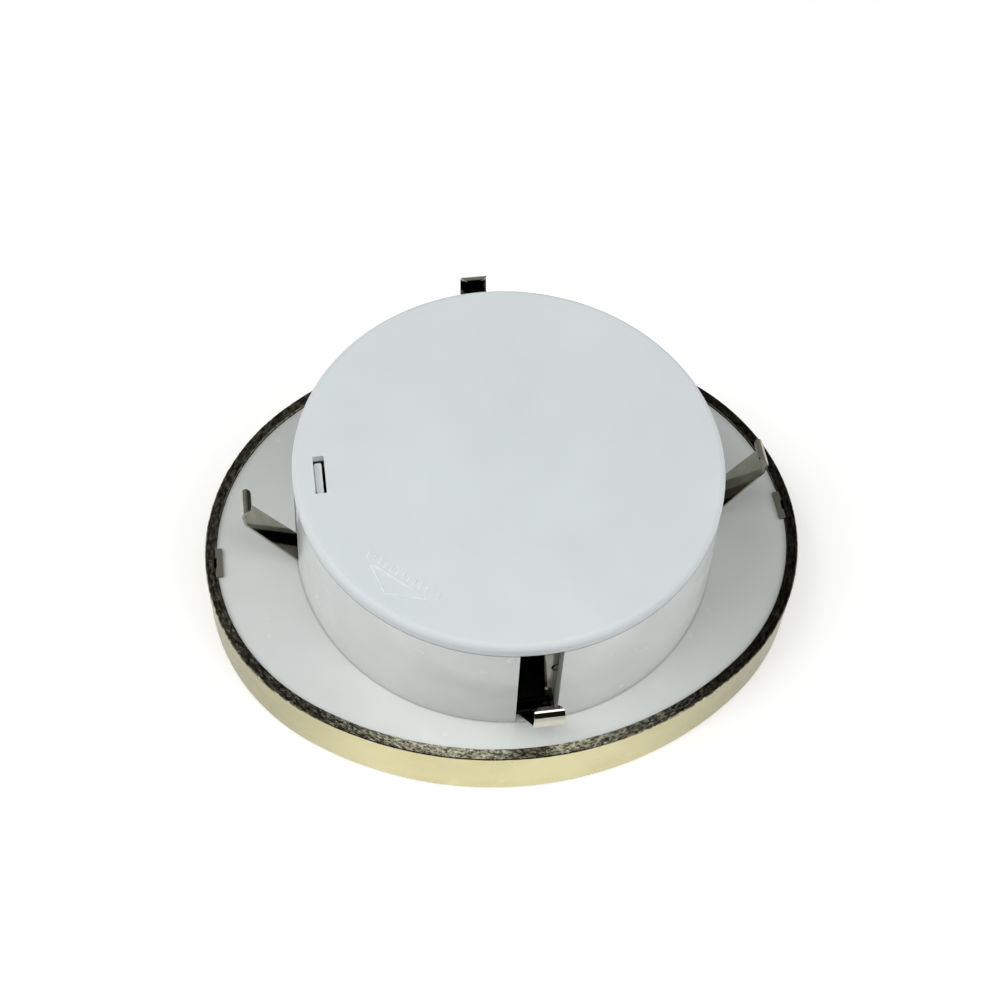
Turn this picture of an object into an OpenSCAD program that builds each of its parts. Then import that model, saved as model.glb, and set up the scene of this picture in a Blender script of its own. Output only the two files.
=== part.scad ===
// Oval clock insert: a bezel with its glass and dial, a moulded housing with four spring clips,
// a removable back cover and a complete quartz movement.
// It lies on the front lip of its bezel. +Z points to the back cover, +X along the long side.
// The origin is on the resting plane, on the axis of the hands. Millimetres.

/* [Bezel] */
// Outside length of the bezel at its back rim
bezel_long = 150; // [140:1:190]
// Outside width of the bezel at its back rim
bezel_short = 124; // [120:1:150]
// Height from the front lip to the back rim
bezel_depth = 16.1; // [14:0.1:20]
// Width of the flat back rim
rim_w = 2.7; // [2:0.1:4]
// How far the side wall spreads towards the front
bezel_flare = 0.4; // [0:0.1:2]
// Radius of the front outer edge
bezel_round = 1.0; // [0.8:0.1:2.5]
// How far the front lip reaches over the glass, from the outside
lip_reach = 8.5; // [7:0.1:10]
// Width of the step that carries the housing flange
ledge_w = 1.5; // [1:0.1:2.5]
// Width of each bent tab that holds the flange
tab_w = 8.0; // [6:0.1:12]
// Reach of each bent tab over the flange
tab_reach = 1.6; // [1.2:0.1:4]
// Thickness of each bent tab
tab_t = 0.7; // [0.4:0.05:0.8]
// How far the middle of each tab lies to the side of the long axis
tab_aside = -0.7; // [-2:0.1:2]

/* [Glass and dial] */
// Thickness of the glass
glass_t = 2.0; // [1.5:0.1:2.5]
// Height of the glass seat above the front lip
glass_seat_z = 3.6; // [3:0.1:4.5]
// How far the glass bulges forward of its seat
glass_bulge = 2.6; // [1:0.1:2.9]
// Width of the curved shoulder of the glass
shoulder_w = 15; // [8:0.5:20]
// Thickness of the dial
dial_t = 0.5; // [0.3:0.1:1]
// Width of the sloped face of the reflector ring
reflector_slope = 1.8; // [1:0.1:4]
// Wall of the reflector ring
reflector_wall = 1.0; // [0.8:0.1:1.4]

/* [Housing] */
// Outside diameter of the cup at its base
cup_d = 104.6; // [86:0.2:108]
// Height of the cup above the flange
cup_h = 31.0; // [28:0.5:40]
// How much the cup radius shrinks towards its mouth
cup_draft = 1.4; // [0:0.1:2]
// Wall of the cup
cup_wall = 1.8; // [1.4:0.1:2.5]
// Thickness of the flange and floor
flange_t = 2.0; // [1.6:0.1:3]
// How far the flange lies below the back rim
flange_drop = 0.8; // [0.7:0.1:2]
// Height of the straight band at the base of the cup
land_h = 2.2; // [1.6:0.1:2.2]
// Width of each clip notch in the cup wall
notch_w = 9.8; // [9:0.1:14]

/* [Spring clips] */
// Thickness of the spring steel
clip_t = 0.5; // [0.3:0.05:0.6]
// Distance from the cup wall to the knee of a clip
clip_throw = 11.0; // [8:0.1:14]
// Height of the knee above the flange
clip_rise = 21.5; // [16:0.1:24]
// Height of the upright face of the lip above the knee
clip_lip_h = 2.8; // [0.8:0.1:4]
// Radius of the curl at the top of the lip
clip_curl_r = 1.9; // [1:0.1:3]
// Angle that the curl turns in towards the cup
clip_curl_a = 76; // [60:1:86]
// Length of the flat behind the curl
clip_flat_l = 0.9; // [0.6:0.1:2]
// Width of the spring at its root
clip_root_w = 8.2; // [7:0.1:9.2]
// Width of the spring at its lip
clip_tip_w = 6.8; // [5:0.1:8]
// Radius of the two corners at the free end of the spring
clip_corner_r = 1.8; // [0.5:0.1:2.2]
// Reach of the upright leg to the side, from the middle of the notch
clip_leg_reach = 8.5; // [7:0.1:9]

/* [Back cover] */
// Thickness of the cover plate
cover_t = 2.0; // [1.6:0.1:3]
// Height of the cover from its parting line to its top
cover_h = 4.1; // [3:0.1:6]
// Radius of the rounded edge
cover_round = 1.7; // [0.5:0.1:2]
// Depth of the small groove along the parting line
parting_d = 0.3; // [0.1:0.05:0.5]
// How much the middle of the cover stands above its edge
cover_crown = 0.4; // [0:0.1:1]
// Length of the latch slot
slot_l = 10.3; // [8:0.1:12]
// Width of the latch slot
slot_w = 2.6; // [2:0.1:4]
// Distance of the latch slot from the rounded edge
slot_edge = 4.7; // [4.4:0.1:6]
// Depth of the spigot inside the cup
spigot_h = 4.6; // [3:0.1:6]
// Wall of the spigot
spigot_wall = 1.6; // [1.2:0.1:2.4]

/* [Movement] */
// Side of the square movement
mv_size = 56; // [55.5:0.5:60]
// Height of the movement case
mv_h = 16; // [16:0.1:18]
// Wall of the movement case
mv_wall = 1.2; // [1:0.1:1.3]
// Corner radius of the movement case
mv_corner_r = 3; // [1:0.5:5]
// Diameter of the battery cell
cell_d = 14.2; // [13.5:0.1:14.5]
// Length of the battery cell without its nub
cell_l = 49; // [44:0.5:49.5]
// Thickness of the rubber washer
rubber_t = 1.0; // [0.5:0.1:2]
// Radius of the threaded bush
bush_r = 4.0; // [3.8:0.1:5]
// Width of the hex nut across its flats
nut_af = 10.4; // [10:0.1:14]
// Thickness of the hex nut
nut_t = 2.2; // [1.5:0.1:3]
// Radius of the setting knob
knob_r = 6.5; // [5:0.1:7]

/* [Hands] */
// Length of the hour hand from the axis
hour_l = 30; // [20:1:34]
// Length of the minute hand from the axis
minute_l = 44; // [30:1:46]
// Length of the second hand from the axis
second_l = 42; // [30:1:46]
// Thickness of the hour and minute hands
hand_t = 0.4; // [0.3:0.05:0.5]

/* [Wheel train] */
// Distance from the centre to the third and intermediate wheels
train_cd = 10.2; // [10.2:0.1:10.6]
// Module of the cannon pinion and the minute wheel
setting_module = 0.4; // [0.4:0.005:0.41]
// Module of the rotor pinion
rotor_module = 0.2; // [0.2:0.005:0.22]
// Thickness of the wheel discs
wheel_t = 1.0; // [0.8:0.05:1.0]

/* [Fits] */
// Clearance between fixed pieces that slip together
fit = 0.15; // [0.1:0.01:0.2]
// Radial clearance of a turning fit
run = 0.05; // [0.03:0.01:0.06]

/* [Hidden] */
$fn = 96;
eps = 0.01;

// The oval is four arcs: two end arcs and two side arcs. Their centres and the points where they
// meet lie on lines of a 3-4-5 triangle, so the arcs run into each other without a kink.
oval_a = bezel_long / 2;
oval_b = bezel_short / 2;
oval_k = (oval_a - oval_b) / 2;
end_x = 3 * oval_k;
side_y = 4 * oval_k;
end_r = oval_a - end_x;
side_r = oval_b + side_y;
far = 160;

// Heights, from the front lip up to the cover.
rim_z = bezel_depth;
flange_z1 = rim_z - flange_drop;
flange_z0 = flange_z1 - flange_t;
dial_z0 = flange_z0 - dial_t;
glass_z0 = glass_seat_z;
glass_z1 = glass_z0 + glass_t;
cup_z1 = flange_z1 + cup_h;
cover_z1 = cup_z1 + cover_h;
cover_in_z = cover_z1 - cover_crown - cover_t;

// Insets from the outside of the oval.
flange_inset = rim_w + fit;
ledge_inset = rim_w + ledge_w;
stack_inset = ledge_inset + fit;

// Radii of the cup.
cup_r0 = cup_d / 2;
cup_r1 = cup_r0 - cup_draft;
cup_in0 = cup_r0 - cup_wall;
cup_in1 = cup_r1 - cup_wall;

// Window punched at the bend of each tab: its width, its size along x and its depth.
tab_window_w = 2.8;
tab_window_x = 0.8;
tab_window_h = 1.8;

// Place of the spring clips. The springs turn about their root.
clip_angles = [0, 90, 180, 270];
leg_r = cup_in1 - 2.2;
pivot_r = cup_in0 - 0.2;
pivot_z = flange_z1 + clip_t / 2 + run;
knee_r = cup_r0 + clip_throw;
knee_z = flange_z1 + clip_rise;
curl_x = knee_r - clip_curl_r;
curl_z = knee_z + clip_lip_h;
curl_end = [curl_x + clip_curl_r * cos(clip_curl_a), curl_z + clip_curl_r * sin(clip_curl_a)];
spring_end = curl_end + clip_flat_l * [-sin(clip_curl_a), cos(clip_curl_a)];
leg_z1 = cup_z1 + 0.8;
leg_gap = 0.6;
// Small tongue pressed out of each upright leg: its place, its radius and the cut round it.
lance_at = [5.1, flange_z1 + 16.6];
lance_r = 1.15;
lance_cut = 0.55;
boss_in = leg_r - clip_t / 2 - 1.0;
boss_w = 4.6;

// Latch arm and slot.
slot_x = -(cup_r1 - cover_round - slot_edge);
slot_y = -0.35;
arm_x = slot_x - 0.25;
arm_y = slot_y + 0.6;
arm_l = 8.4;
arm_t = 1.7;
arm_round = 0.45;
catch_t = 0.9;
catch_w = 7;
catch_h = 3;

// Heights inside the movement.
mv_z0 = flange_z1 + rubber_t;
mv_z1 = mv_z0 + mv_h;
mv_in0 = mv_z0 + mv_wall;
mv_in1 = mv_z1 - mv_wall;
mv_half = mv_size / 2;
cell_y = -mv_half + mv_wall + cell_d / 2 + 0.1;
cell_z = mv_in0 + 0.1 + cell_d / 2;
bay_y1 = cell_y + cell_d / 2 + 0.1;
chamber_y0 = bay_y1 + mv_wall;
bay_x = mv_half - mv_wall;
nub_l = 1.4;
cell_x0 = -bay_x + 2.2;

// Wheel levels, each the lower face of a disc.
hour_z = mv_in0 + 0.7;
minute_z = hour_z + 2.0;
centre_z = minute_z + 1.8;
third_z = centre_z + 2.0;
second_z = third_z + 2.0;
inter_z = second_z + 2.0;
magnet_z0 = third_z - 0.1;
magnet_z1 = magnet_z0 + 2.4;
stator_z = third_z + 0.5;
stator_t = 0.8;

// Teeth of the wheels and pinions.
hour_n = 40;
hour_pin_n = 10;
minute_n = 36;
cannon_n = 12;
centre_n = 64;
third_pin_n = 8;
third_n = 60;
second_pin_n = 8;
second_n = 60;
inter_pin_n = 10;
inter_n = 60;
rotor_n = 12;

// Modules that keep each pair at its centre distance.
setting_cd = setting_module * (minute_n + cannon_n) / 2;
hour_module = 2 * setting_cd / (hour_n + hour_pin_n);
centre_module = 2 * train_cd / (centre_n + third_pin_n);
third_module = 2 * train_cd / (third_n + second_pin_n);
second_module = 2 * train_cd / (second_n + inter_pin_n);
rotor_cd = rotor_module * (inter_n + rotor_n) / 2;

// Axes of the wheels.
third_a = 150;
inter_a = 60;
rotor_a = 20;
knob_a = -25;
third_p = train_cd * [cos(third_a), sin(third_a)];
inter_p = train_cd * [cos(inter_a), sin(inter_a)];
rotor_p = inter_p + rotor_cd * [cos(rotor_a), sin(rotor_a)];
minute_p = [setting_cd, 0];
knob_p = minute_p + setting_cd * [cos(knob_a), sin(knob_a)];

// Tube radii of the centre stack.
second_r = 0.7;
cannon_in = second_r + run;
cannon_r = 1.5;
hour_in = cannon_r + run;
hour_r = 2.4;
bush_in = hour_r + run;
bush_z0 = dial_z0 - 3.6;
hour_tip_z = bush_z0 - 1.4;
minute_tip_z = hour_tip_z - 1.5;
second_tip_z = minute_tip_z - 1.3;
// The hands show half a minute past ten past ten. Twelve is at +Y and the hands turn about +Z.
shown_s = 180;
shown_min = 6 * 10 + shown_s / 60;
shown_h = 30 * 10 + shown_min / 12;

// Pivots and pins.
pivot_pin_r = 0.3;
boss_r = 1.3;
drive_r = 1.2;
stud_r = 0.6;
knob_stem_r = 1.2;
// Radial clearance of pieces that are pressed or screwed together.
press = 0.02;
washer_t = 0.5;

// Coil, stator posts, circuit board and contacts of the movement.
coil_y = 21.2;
coil_z = stator_z + stator_t + 0.5;
coil_x0 = -4.4;
coil_x1 = 20.4;
coil_r = 3.4;
barrel_r = 1.9;
stator_post_p = [[-7.2, 24.6], [23.2, 12]];
board_z = mv_in0 + 2.5;
contact_t = 0.35;
contact_w = 9;
hook_h = 3;
finger_r = 7;

// Angle at which a follower's tooth lies when it meshes with a driver.
function mesh_phase(drive_n, drive_phase, toward, follow_n) =
    toward + 180 + ((toward - drive_phase) * drive_n / 360 - 0.5) * 360 / follow_n;

third_phase = mesh_phase(second_pin_n, 0, third_a, third_n);
centre_phase = mesh_phase(third_pin_n, third_phase, third_a + 180, centre_n);
inter_pin_phase = mesh_phase(second_n, 0, inter_a, inter_pin_n);
rotor_phase = mesh_phase(inter_n, 0, rotor_a, rotor_n);
minute_phase = mesh_phase(cannon_n, 0, 0, minute_n);
knob_phase = mesh_phase(minute_n, minute_phase, knob_a, cannon_n);
hour_phase = mesh_phase(hour_pin_n, 0, 180, hour_n);

// Points along a circular arc.
function arc(cx, cy, r, a0, a1, steps) =
    [for (i = [0:steps]) let (a = a0 + (a1 - a0) * i / steps) [cx + r * cos(a), cy + r * sin(a)]];

// Outline of a toothed wheel: root, flank and tip of each tooth, with widths as shares of the pitch.
function tooth_outline(n, m, phase, root_w, pitch_w, tip_w, add) =
    let (r = n * m / 2, levels = [[r - 1.25 * m, root_w], [r, pitch_w], [r + add * m, tip_w]])
    [for (i = [0:n - 1], side = [-1, 1], k = [0:2])
        let (lv = levels[side < 0 ? k : 2 - k], a = phase + 360 * i / n + side * lv[1] * 90 * m / lv[0])
        lv[0] * [cos(a), sin(a)]];

module wheel_teeth(n, m, phase) {
    polygon(tooth_outline(n, m, phase, 0.55, 0.42, 0.16, 0.95));
}

module pinion_teeth(n, m, phase) {
    polygon(tooth_outline(n, m, phase, 0.40, 0.40, 0.20, 0.85));
}

// The four sectors that the oval's arcs fill.
module end_sector() {
    translate([0, 0, -far]) linear_extrude(2 * far) polygon([
        [end_x, 0], [end_x + 0.6 * far, -0.8 * far], [3 * far, -0.8 * far],
        [3 * far, 0.8 * far], [end_x + 0.6 * far, 0.8 * far]
    ]);
}

module side_sector() {
    translate([0, 0, -far]) linear_extrude(2 * far) polygon([
        [0, -side_y], [0.6 * far, 0.8 * far - side_y], [0.6 * far, 3 * far],
        [-0.6 * far, 3 * far], [-0.6 * far, 0.8 * far - side_y]
    ]);
}

// Sweeps a profile round the oval. Its x is minus the inset from the outside.
module oval_sweep() {
    for (turn = [0, 180]) {
        rotate(turn) intersection() {
            translate([end_x, 0, 0]) rotate_extrude() translate([end_r, 0]) children();
            end_sector();
        }
        rotate(turn) intersection() {
            translate([0, -side_y, 0]) rotate_extrude() translate([side_r, 0]) children();
            side_sector();
        }
    }
}

// The filled oval at an inset.
module oval_2d(inset) {
    half_x = end_x + (end_r - inset) * 0.6;
    intersection() {
        translate([0, -side_y]) circle(side_r - inset);
        translate([0, side_y]) circle(side_r - inset);
        square([2 * half_x, 4 * oval_b], center = true);
    }
    for (side = [-1, 1])
        translate([side * end_x, 0]) circle(end_r - inset);
}

module oval_plate(inset, z0, z1) {
    translate([0, 0, z0]) linear_extrude(z1 - z0) oval_2d(inset);
}

module tube(r_out, r_in, z0, z1) {
    translate([0, 0, z0]) difference() {
        cylinder(h = z1 - z0, r = r_out);
        translate([0, 0, -1]) cylinder(h = z1 - z0 + 2, r = r_in);
    }
}

module rod(r, z0, z1) {
    translate([0, 0, z0]) cylinder(h = z1 - z0, r = r);
}

module rounded_square(w, h, r) {
    square([w - 2 * r, h], center = true);
    square([w, h - 2 * r], center = true);
    for (x = [-1, 1], y = [-1, 1])
        translate([x * (w / 2 - r), y * (h / 2 - r)]) circle(r);
}

// The bezel wall, its front lip over the glass and the step under the flange.
module bezel_profile() {
    wide = bezel_flare;
    polygon(concat(
        [[-rim_w, rim_z], [-0.25, rim_z], [0, rim_z - 0.25]],
        arc(wide - bezel_round, bezel_round, bezel_round, 0, -90, 8),
        [[-3.4, 0], [-4.2, 0.2], [-lip_reach + 0.6, glass_seat_z - 1.6], [-lip_reach, glass_seat_z - 1.1]],
        [[-lip_reach, glass_seat_z], [-ledge_inset, glass_seat_z]],
        [[-ledge_inset, flange_z0], [-rim_w, flange_z0]]
    ));
}

// One tab bent over the flange.
module flange_tab() {
    translate([oval_a - rim_w - tab_reach, tab_aside - tab_w / 2, rim_z - tab_t])
        cube([tab_reach + 0.6, tab_w, tab_t]);
}

// The punched window at the bend of a tab.
module tab_window() {
    translate([oval_a - rim_w - 0.3, tab_aside - tab_window_w / 2, rim_z - tab_window_h])
        cube([tab_window_x, tab_window_w, tab_window_h + 1]);
}

module bezel() {
    color("goldenrod") difference() {
        union() {
            oval_sweep() bezel_profile();
            flange_tab();
            mirror([1, 0, 0]) flange_tab();
        }
        tab_window();
        mirror([1, 0, 0]) tab_window();
    }
}

// The glass: a flat middle and a curved shoulder that turns down to a flat edge.
module lens() {
    inner = lip_reach + 0.4 + shoulder_w;
    bend_r = (shoulder_w * shoulder_w + glass_bulge * glass_bulge) / (2 * glass_bulge);
    sweep_a = asin(shoulder_w / bend_r);
    front_z = glass_z0 - glass_bulge;
    color("lightcyan") {
        oval_sweep() polygon(concat(
            [[-stack_inset, glass_z1], [-stack_inset, glass_z0]],
            arc(-inner, front_z + bend_r, bend_r, sweep_a - 90, -90, 8),
            arc(-inner, front_z + glass_t + bend_r, bend_r, -90, sweep_a - 90, 8)
        ));
        oval_plate(inner, front_z, front_z + glass_t);
    }
}

// A sloped channel between the glass and the dial.
module reflector_ring() {
    top = stack_inset + 3.4;
    foot = top + reflector_slope;
    shade = stack_inset + reflector_wall;
    color("gold") oval_sweep() polygon([
        [-stack_inset, dial_z0], [-stack_inset, glass_z1], [-top, glass_z1], [-foot, dial_z0],
        [-foot + reflector_wall, dial_z0], [-top + reflector_wall, glass_z1 + reflector_wall],
        [-shade, glass_z1 + reflector_wall], [-shade, dial_z0]
    ]);
}

module dial() {
    color("ivory") difference() {
        oval_plate(stack_inset, dial_z0, dial_z0 + dial_t);
        rod(bush_r + fit, dial_z0 - 1, dial_z0 + 2);
    }
}

// The cup wall: a straight band at the base, then a slight draft.
module cup_wall_solid() {
    rotate_extrude() polygon([
        [cup_r0, flange_z1 - eps], [cup_r0, flange_z1 + land_h], [cup_r1, cup_z1],
        [cup_in1, cup_z1], [cup_in0, flange_z1 - eps]
    ]);
}

// Everything inside the outer face of the cup, a little under the surface.
module cup_core() {
    translate([0, 0, flange_z1 - eps]) cylinder(h = cup_h + eps, r1 = cup_r0 - 0.3, r2 = cup_r1 - 0.3);
}

// The slotted boss beside a notch that holds the upright leg of a clip.
module clip_seat() {
    intersection() {
        cup_core();
        difference() {
            translate([boss_in, notch_w / 2 + 0.1, flange_z1 - eps]) cube([cup_r0, boss_w, cup_h + eps]);
            translate([leg_r - clip_t / 2 - run, 0, flange_z1])
                cube([clip_t + 2 * run, clip_leg_reach + run, cup_h]);
        }
    }
}

// The spring arm that bears on the cover's catch rib, seen through the slot.
module latch_arm() {
    translate([arm_x, arm_y, flange_z1 - eps]) difference() {
        linear_extrude(cover_in_z - 0.3 - flange_z1 + eps) rounded_square(arm_t, arm_l, arm_round);
        translate([0, 0, 4]) rotate([0, 90, 0]) translate([0, 0, -5]) cylinder(h = 10, r = 1.5);
    }
}

module housing() {
    color("whitesmoke") {
        difference() {
            oval_plate(flange_inset, flange_z0, flange_z1);
            rod(bush_r + fit, flange_z0 - 1, flange_z1 + 1);
        }
        difference() {
            cup_wall_solid();
            for (a = clip_angles) rotate(a)
                translate([boss_in - 2, -notch_w / 2, flange_z1]) cube([10, notch_w, cup_h]);
        }
        for (a = clip_angles) rotate(a) clip_seat();
        latch_arm();
    }
}

// The upright leg of one clip, in its own plane: x across, y up.
module leg_outline() {
    difference() {
        polygon([
            [-clip_root_w / 2, flange_z1], [clip_leg_reach, flange_z1], [clip_leg_reach, leg_z1],
            [leg_gap, leg_z1], [leg_gap + 1.7, flange_z1 + 11], [leg_gap + 2.2, flange_z1 + 2.6],
            [leg_gap + 1.2, flange_z1 + 1.2], [-clip_root_w / 2, flange_z1 + 1.2]
        ]);
        for (z = [1.8, 4.6]) translate([leg_gap + 2.1, flange_z1 + z]) circle(r = 0.8, $fn = 24);
        translate(lance_at) difference() {
            lance_outline(lance_r + lance_cut);
            lance_outline(lance_r);
        }
    }
}

// The pressed tongue of a leg: a half round with a short straight root.
module lance_outline(r) {
    intersection() {
        circle(r = r, $fn = 32);
        translate([-2 * r, -r]) square([2 * r, 2 * r]);
    }
    translate([-eps, -r]) square([0.7, 2 * r]);
}

module clip_legs() {
    foot_end = pivot_r - clip_t / 2 - 0.1;
    color("silver") for (a = clip_angles) rotate(a) {
        translate([leg_r - clip_t / 2, 0, 0]) rotate([90, 0, 90]) linear_extrude(clip_t) leg_outline();
        translate([leg_r, -clip_root_w / 2, flange_z1]) cube([foot_end - leg_r, clip_root_w, clip_t]);
    }
}

// Side view of one spring: x outward, y up. A strip rises from the root to the knee, stands
// upright as the lip and curls back over towards the cup.
function spring_line() = concat(
    [[pivot_r, pivot_z], [knee_r - 0.35, knee_z - 0.55]],
    arc(curl_x, curl_z, clip_curl_r, 0, clip_curl_a, 7),
    [spring_end]);

function unit(v) = v / norm(v);
function turn_right(v) = unit([v[1], -v[0]]);
// Offset direction at a point of a line, longer at a bend so that the strip keeps its thickness.
function line_normal(p, i) =
    i == 0 ? turn_right(p[1] - p[0])
    : i == len(p) - 1 ? turn_right(p[i] - p[i - 1])
    : let (before = turn_right(p[i] - p[i - 1]), both = unit(before + turn_right(p[i + 1] - p[i])))
        both / (both * before);
function strip_outline(p, t) = concat(
    [for (i = [0:len(p) - 1]) p[i] + line_normal(p, i) * t / 2],
    [for (i = [len(p) - 1:-1:0]) p[i] - line_normal(p, i) * t / 2]);

// Face view of one spring: it narrows from the root to the lip.
module spring_face() {
    top = spring_end[1] + 1;
    tip = clip_tip_w / 2;
    polygon([
        [-clip_root_w / 2, flange_z1 - 1], [clip_root_w / 2, flange_z1 - 1],
        [tip, knee_z], [tip, top], [-tip, top], [-tip, knee_z]
    ]);
}

// What is cut away to round one corner at the free end of a spring.
module end_corner() {
    r = clip_corner_r;
    translate([spring_end[0] + r, clip_tip_w / 2 - r, knee_z]) difference() {
        translate([-r - 1, 0, 0]) cube([r + 1, r + 1, spring_end[1] - knee_z + 2]);
        translate([0, 0, -1]) cylinder(h = spring_end[1] - knee_z + 4, r = r, $fn = 32);
    }
}

// All the space except the two corners at the free end.
module spring_end_space() {
    difference() {
        translate([0, -notch_w, 0]) cube([2 * knee_r, 2 * notch_w, 2 * knee_z]);
        end_corner();
        mirror([0, 1, 0]) end_corner();
    }
}

module clip_spring(a) {
    color("silver") rotate(a) {
        intersection() {
            rotate([90, 0, 0]) translate([0, 0, -clip_root_w / 2 - 1])
                linear_extrude(clip_root_w + 2) polygon(strip_outline(spring_line(), clip_t));
            rotate([90, 0, 90]) linear_extrude(knee_r + 5) spring_face();
            spring_end_space();
        }
        translate([pivot_r, 0, pivot_z]) rotate([90, 0, 0])
            cylinder(h = clip_root_w - 0.1, r = clip_t / 2, center = true, $fn = 24);
    }
}

// The cover shell, turned: a low crown, a rounded edge and a skirt that stands on the cup.
module cover_shell() {
    edge_r = cup_r1;
    edge_z = cover_z1 - cover_crown;
    flat_r = edge_r - cover_round;
    rotate_extrude() polygon(concat(
        [for (i = [0:8]) let (x = flat_r * i / 8)
            [x, edge_z + cover_crown * (1 - pow(x / flat_r, 2))]],
        arc(flat_r, edge_z - cover_round, cover_round, 84, 0, 8),
        [[edge_r, cup_z1 + parting_d], [edge_r - parting_d, cup_z1], [cup_in1, cup_z1]],
        [[cup_in1, cover_in_z], [0, cover_in_z]]
    ));
}

// Spigot arcs between the clips.
module cover_spigot() {
    gap_half = 15.5;
    r_out = cup_in1 - fit;
    intersection() {
        tube(r_out, r_out - spigot_wall, cover_in_z - spigot_h, cover_in_z + eps);
        for (a = [45, 135, 225, 315]) rotate(a)
            translate([r_out / 2 + 6, 0, 0]) cube([r_out, r_out * 1.414 - 2 * gap_half, 300], center = true);
    }
}

module back_cover() {
    color("white") difference() {
        union() {
            cover_shell();
            cover_spigot();
            translate([arm_x - arm_t / 2 - 0.1 - catch_t, arm_y - catch_w / 2, cover_in_z - catch_h])
                cube([catch_t, catch_w, catch_h + eps]);
        }
        translate([slot_x - slot_w / 2, slot_y - slot_l / 2, cover_in_z - 2 * eps])
            cube([slot_w, slot_l, cover_t + 5]);
    }
}

// Boss with a blind bore for an arbor's pivot. The bore opens at the end at z_open.
module pivot_boss(p, z_wall, z_open) {
    low = min(z_wall, z_open);
    high = max(z_wall, z_open);
    depth = 1.0;
    bore_z = z_open > z_wall ? high - depth : low - 1;
    translate([p[0], p[1], 0]) difference() {
        translate([0, 0, low]) cylinder(h = high - low, r = boss_r, $fn = 32);
        translate([0, 0, bore_z]) cylinder(h = depth + 1, r = pivot_pin_r + run, $fn = 24);
    }
}

// Square tray with the battery bay along one side.
module movement_case() {
    color("dimgray") {
        difference() {
            translate([0, 0, mv_z0]) linear_extrude(mv_h) rounded_square(mv_size, mv_size, mv_corner_r);
            translate([-bay_x, chamber_y0, mv_in0]) cube([2 * bay_x, bay_x - chamber_y0, mv_h]);
            translate([-bay_x, -bay_x, mv_in0]) cube([2 * bay_x, bay_y1 + bay_x, mv_h]);
            translate([-mv_half - 1, bay_y1 + eps, mv_in1]) cube([mv_size + 2, mv_size, mv_h]);
            translate([0, -mv_half, mv_z1]) rotate([90, 0, 0])
                cylinder(h = 4, r = finger_r, center = true, $fn = 64);
            rod(bush_r + run, mv_z0 - 1, mv_in0 + 1);
        }
        pivot_boss(third_p, mv_in0 - eps, hour_z + 1.6);
        pivot_boss(inter_p, mv_in0 - eps, hour_z + 1.6);
        pivot_boss(rotor_p, mv_in0 - eps, minute_z + 1.2);
        pivot_boss(knob_p, mv_in0 - eps, hour_z + 0.9);
        translate([minute_p[0], minute_p[1], mv_in0 - eps])
            cylinder(h = minute_z + 1.2 - mv_in0, r = stud_r, $fn = 24);
        for (x = [-24, -13]) translate([x, 25, mv_in0 - eps])
            cylinder(h = board_z + eps - mv_in0, r = 1.2, $fn = 32);
        stator_posts();
    }
}

// Posts that carry the stator and the coil.
module stator_posts() {
    for (p = stator_post_p) translate([p[0], p[1], mv_in0 - eps])
        cylinder(h = stator_z - mv_in0 + eps, r = 1.3, $fn = 32);
}

module movement_cover() {
    y0 = bay_y1 + eps;
    color("gray") {
        difference() {
            intersection() {
                translate([0, 0, mv_in1]) linear_extrude(mv_wall)
                    rounded_square(mv_size, mv_size, mv_corner_r);
                translate([-mv_half - 1, y0 + 0.1, mv_in1 - 1]) cube([mv_size + 2, mv_size, mv_h]);
            }
            translate([knob_p[0], knob_p[1], mv_in1 - 1])
                cylinder(h = 5, r = knob_stem_r + run, $fn = 32);
        }
        pivot_boss(third_p, mv_in1 + eps, inter_z);
        pivot_boss(inter_p, mv_in1 + eps, inter_z + wheel_t + 0.4);
        pivot_boss(rotor_p, mv_in1 + eps, inter_z + wheel_t + 0.6);
        pivot_boss([0, 0], mv_in1 + eps, inter_z);
    }
}

module centre_bush() {
    color("gold") difference() {
        union() {
            rod(bush_r, bush_z0, mv_in0 + 0.2);
            rod(bush_r + 1.4, mv_in0, mv_in0 + 0.4);
        }
        rod(bush_in, bush_z0 - 1, mv_in0 + 2);
    }
}

module hex_nut() {
    color("gold") translate([0, 0, dial_z0 - washer_t - nut_t]) difference() {
        cylinder(h = nut_t, r = nut_af / sqrt(3), $fn = 6);
        translate([0, 0, -1]) cylinder(h = nut_t + 2, r = bush_r + press);
    }
}

module brass_washer() {
    color("gold") tube(nut_af / 2 + 0.9, bush_r + fit, dial_z0 - washer_t, dial_z0);
}

module rubber_washer() {
    color("black") tube(bush_r + 5, bush_r + fit, flange_z1, mv_z0);
}

// Outline of a tapered hand with a counterweight tail, pointing along +Y.
module hand_outline(length, wide, tail) {
    polygon([
        [-wide * 0.3, -tail], [wide * 0.3, -tail], [wide * 0.22, 0],
        [wide / 2, length * 0.55], [0.25, length], [-0.25, length],
        [-wide / 2, length * 0.55], [-wide * 0.22, 0]
    ]);
}

module hand(length, wide, tail, z0, t, hub_r, bore_r, hub_z1) {
    translate([0, 0, z0]) linear_extrude(t) difference() {
        union() {
            hand_outline(length, wide, tail);
            circle(hub_r + 1);
        }
        circle(bore_r);
    }
    tube(hub_r + 0.2, bore_r, z0 + t - eps, hub_z1);
}

module hour_hand() {
    color("black") rotate(shown_h)
        hand(hour_l, 5.2, 7, hour_tip_z, hand_t, hour_r + 0.7, hour_r + press,
            hour_tip_z + hand_t + 0.5);
}

module minute_hand() {
    color("black") rotate(shown_min)
        hand(minute_l, 4.4, 9, minute_tip_z, hand_t, cannon_r + 0.8, cannon_r + press,
            minute_tip_z + hand_t + 0.5);
}

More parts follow.
